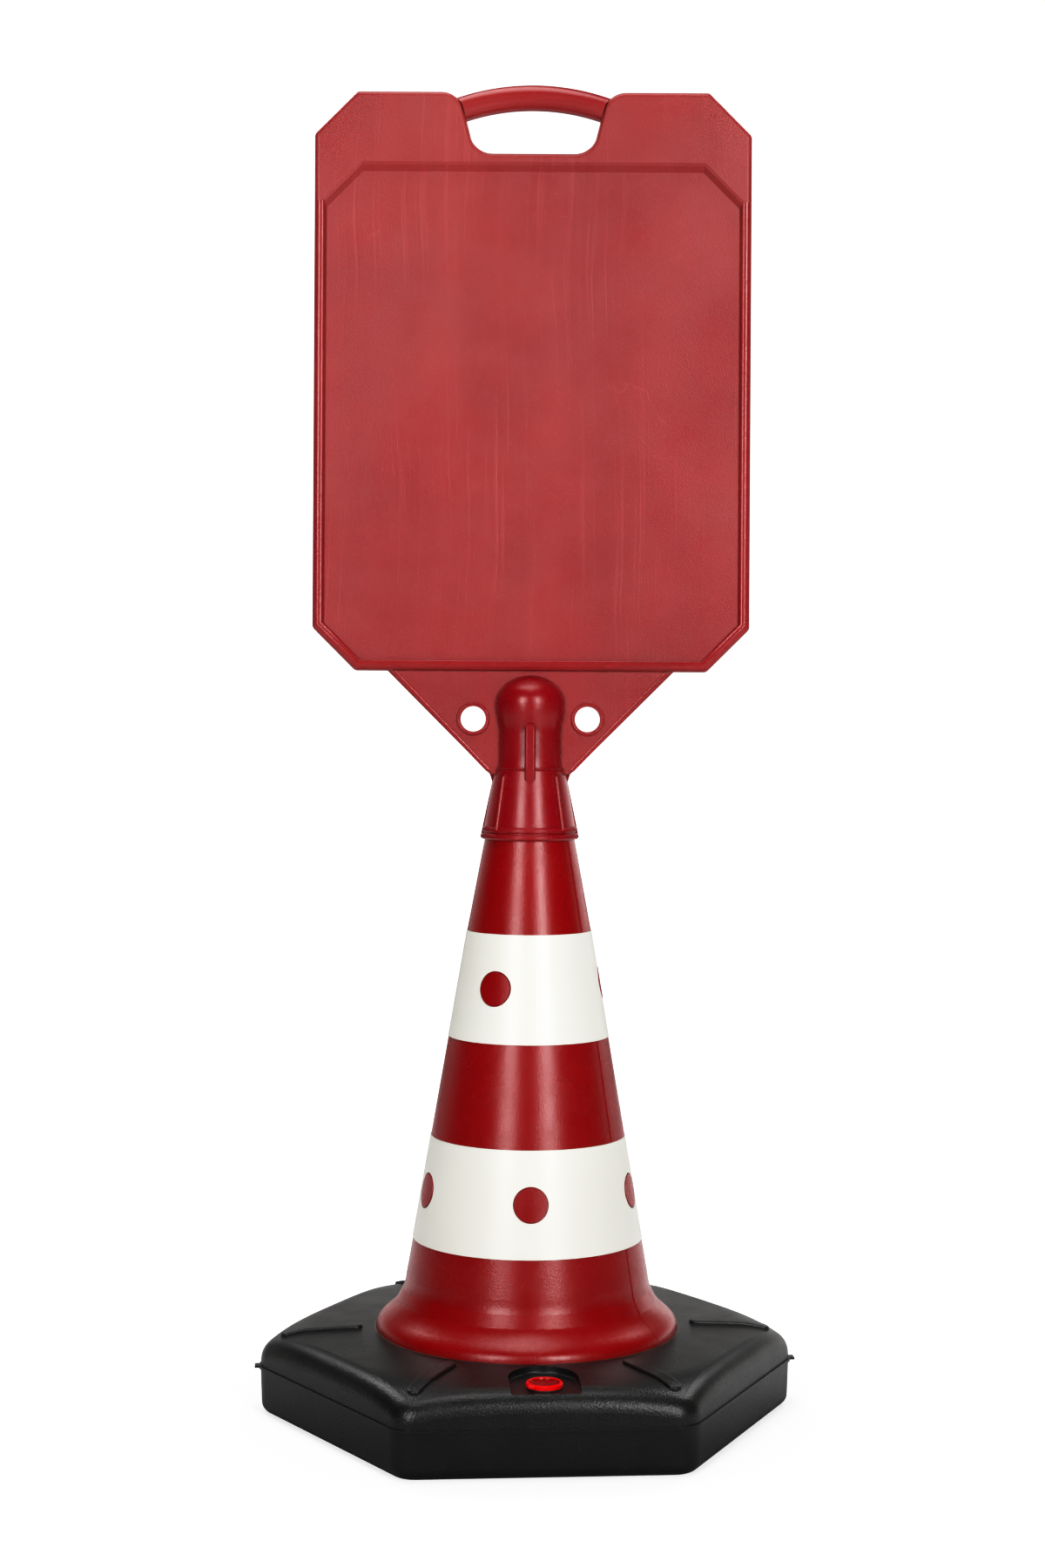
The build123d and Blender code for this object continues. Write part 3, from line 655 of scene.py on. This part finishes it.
# %% [markdown]
# The board is closed the same way, so a fine seam runs round the middle of its edge. The quickest
# true way is to take the seam from the board itself: copy it, merge its loose triangles, and cut the
# copy with two planes so that only a thin hoop is left. The inner wall is thrown away, and a
# Solidify modifier gives the hoop its height.

# %% Seam round the board
seam_half_width = 0.0005
seam_proud = 0.0004


def loose_parts(piece):
    """Splits a piece into its separate parts and returns them."""
    only_select(piece)
    bpy.ops.object.mode_set(mode="EDIT")
    bpy.ops.mesh.select_all(action="SELECT")
    bpy.ops.mesh.separate(type="LOOSE")
    bpy.ops.object.mode_set(mode="OBJECT")
    return list(bpy.context.selected_objects)


def edge_hoop(node_name):
    """The thin outer hoop that two cuts close to the middle plane leave of a node's copy."""
    hoop = bpy.data.objects.new("hoop", nodes[node_name].data.copy())
    bpy.context.scene.collection.objects.link(hoop)
    only_select(hoop)
    bpy.ops.object.mode_set(mode="EDIT")
    bpy.ops.mesh.select_all(action="SELECT")
    bpy.ops.mesh.remove_doubles(threshold=0.00001)
    for side in (-1, 1):
        bpy.ops.mesh.select_all(action="SELECT")
        bpy.ops.mesh.bisect(plane_co=(0, side * seam_half_width, 0), plane_no=(0, side, 0),
                            clear_outer=True)
    bpy.ops.object.mode_set(mode="OBJECT")
    parts = loose_parts(hoop)
    parts.sort(key=lambda p: p.dimensions.x, reverse=True)
    for spare in parts[1:]:
        bpy.data.objects.remove(spare)
    return parts[0]


hoop = edge_hoop("sign_board")
only_select(hoop)
thicken = hoop.modifiers.new("seam height", "SOLIDIFY")
thicken.thickness = seam_proud
thicken.offset = 1.0
bpy.ops.object.modifier_apply(modifier=thicken.name)
finish_piece(hoop, "board_seam", "sign", socket_red)

# %% [markdown]
# ## The bead at the socket's shoulder
#
# Where the round neck meets the skirt, the mould has a fine groove that leaves a raised bead. It is a
# ring with a small round section, so it starts as a torus. It's flattened a little and its size is
# read off the socket's own surface just above the shoulder.

# %% Shoulder bead
bead_height = 0.5572
bead_section = 0.0009
bead_out = 0.0006
bead_flatten = 0.8
measured_above = 0.0015
clear_of_fins = radians(25)

neck_radius = surface_distance("sign_socket", clear_of_fins, bead_height + measured_above)
bpy.ops.object.select_all(action="DESELECT")
bpy.ops.mesh.primitive_torus_add(major_radius=neck_radius + bead_out, minor_radius=bead_section,
                                 major_segments=96, minor_segments=12, location=(0, 0, bead_height))
bead = bpy.context.object
bead.scale = (1.0, 1.0, bead_flatten)
finish_piece(bead, "shoulder_bead", "sign", socket_red)

# %% [markdown]
# ## Crowned edges
#
# The board's rim, the skirt's ribs, the gusset's slanted edges and the tie holes are not flat-topped:
# the mould's corners are rounded, and plastic that shrinks away from them leaves a slight crown. The
# crown is what catches a bright line of light. Each one is a bead: a path is drawn by extruding a
# single point along the edge, the path is turned into a curve with a round section, and the section
# is flattened and sunk until only its cap stands out. It's like bending a wire and pressing it into
# the wall.

# %% A bead along a path
def path_bead(points, section, flatten):
    """A bead along points, as a mesh with closed ends, flattened from front to back."""
    bpy.ops.object.select_all(action="DESELECT")
    bpy.ops.mesh.primitive_plane_add(size=0.001, location=points[0])
    path = bpy.context.object
    bpy.ops.object.mode_set(mode="EDIT")
    bpy.ops.mesh.select_all(action="SELECT")
    bpy.ops.mesh.merge(type="CENTER")
    for here, there in zip(points, points[1:]):
        step = tuple(Vector(there) - Vector(here))
        bpy.ops.mesh.extrude_vertices_move(TRANSFORM_OT_translate={"value": step})
    bpy.ops.object.mode_set(mode="OBJECT")
    bpy.ops.object.convert(target="CURVE")
    path.data.bevel_depth = section
    path.data.bevel_resolution = 3
    path.data.use_fill_caps = True
    bpy.ops.object.convert(target="MESH")
    only_select(path)
    bpy.ops.object.transform_apply(location=True, rotation=True, scale=True)
    bpy.ops.object.mode_set(mode="EDIT")
    bpy.ops.mesh.select_all(action="SELECT")
    bpy.ops.transform.resize(value=(1.0, flatten, 1.0), center_override=(0.0, points[0][1], 0.0))
    bpy.ops.object.mode_set(mode="OBJECT")
    return path


# %% Crown of the board's rim
rim_section = 0.0034
rim_flatten = 0.35
rim_proud = 0.0006
rim_from_edge = 0.0054
rim_corner_cut = 0.0347
rim_top_down = 0.0955

board_low, board_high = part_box("sign_board")
half_width = board_high[0] - rim_from_edge
rim_bottom = board_low[2] + rim_from_edge
rim_top = board_high[2] - rim_top_down
crown_y = board_low[1] + rim_section * rim_flatten - rim_proud

rim_outline = [
    (-half_width, rim_top),
    (-half_width, rim_bottom + rim_corner_cut),
    (-half_width + rim_corner_cut, rim_bottom),
    (half_width - rim_corner_cut, rim_bottom),
    (half_width, rim_bottom + rim_corner_cut),
    (half_width, rim_top),
]
for side, y in (("front", crown_y), ("back", -crown_y)):
    points = [(x, y, z) for x, z in rim_outline]
    finish_piece(path_bead(points, rim_section, rim_flatten), f"rim_crown_{side}", "sign", crown_red)

# %% Crowns of the skirt's upright ribs
rib_section = 0.0014
rib_proud = 0.0005
rib_low_end = 0.5045
rib_high_end = 0.5505
rib_turns = (44, 136, 224, 316)

for number, degrees_round in enumerate(rib_turns, start=1):
    turn = radians(degrees_round)
    ends = []
    for height in (rib_low_end, rib_high_end):
        distance = surface_distance("sign_socket", turn, height)
        ends.append(outward_at(turn) * (distance - rib_section + rib_proud) + Vector((0, 0, height)))
    finish_piece(path_bead(ends, rib_section, 1.0), f"skirt_rib_crown_{number}", "sign", crown_red)
    print(f"rib crown {number} stands", round(distance * 1000, 1), "mm from the axis at its top")

# %% Crown of the gusset's slanted edges
plate_section = 0.0022
plate_flatten = 0.5
plate_proud = 0.0007
plate_face = 0.005
top_in = 0.0069
top_down = 0.0015
foot_x = 0.03608
foot_up = 0.0035

gusset_low, gusset_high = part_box("gusset_plate")
plate_y = plate_face - plate_section * plate_flatten + plate_proud
edge_ends = [(foot_x, gusset_low[2] + foot_up), (gusset_high[0] - top_in, gusset_high[2] - top_down)]
for side, side_name in side_names.items():
    for y, face_name in ((plate_y, "back"), (-plate_y, "front")):
        ends = [(side * x, y, z) for x, z in edge_ends]
        finish_piece(path_bead(ends, plate_section, plate_flatten),
                     f"gusset_crown_{side_name}_{face_name}", "sign", crown_red)

# %% Beads round the tie holes
hole_apart = 0.0996
hole_height = 0.6000
hole_bead_radius = 0.0131
hole_bead_section = 0.0009
hole_bead_y = 0.0058

bpy.ops.object.select_all(action="DESELECT")
bpy.ops.mesh.primitive_torus_add(
    major_radius=hole_bead_radius, minor_radius=hole_bead_section, major_segments=64,
    minor_segments=10, rotation=(radians(90), 0, 0))
first_bead = bpy.context.object
for side, side_name in side_names.items():
    for y, face_name in ((-hole_bead_y, "front"), (hole_bead_y, "back")):
        hole_bead = first_bead.copy()
        hole_bead.data = first_bead.data.copy()
        hole_bead.location = (side * hole_apart / 2, y, hole_height)
        bpy.context.scene.collection.objects.link(hole_bead)
        finish_piece(hole_bead, f"tie_hole_bead_{side_name}_{face_name}", "sign", crown_red)
bpy.data.objects.remove(first_bead)
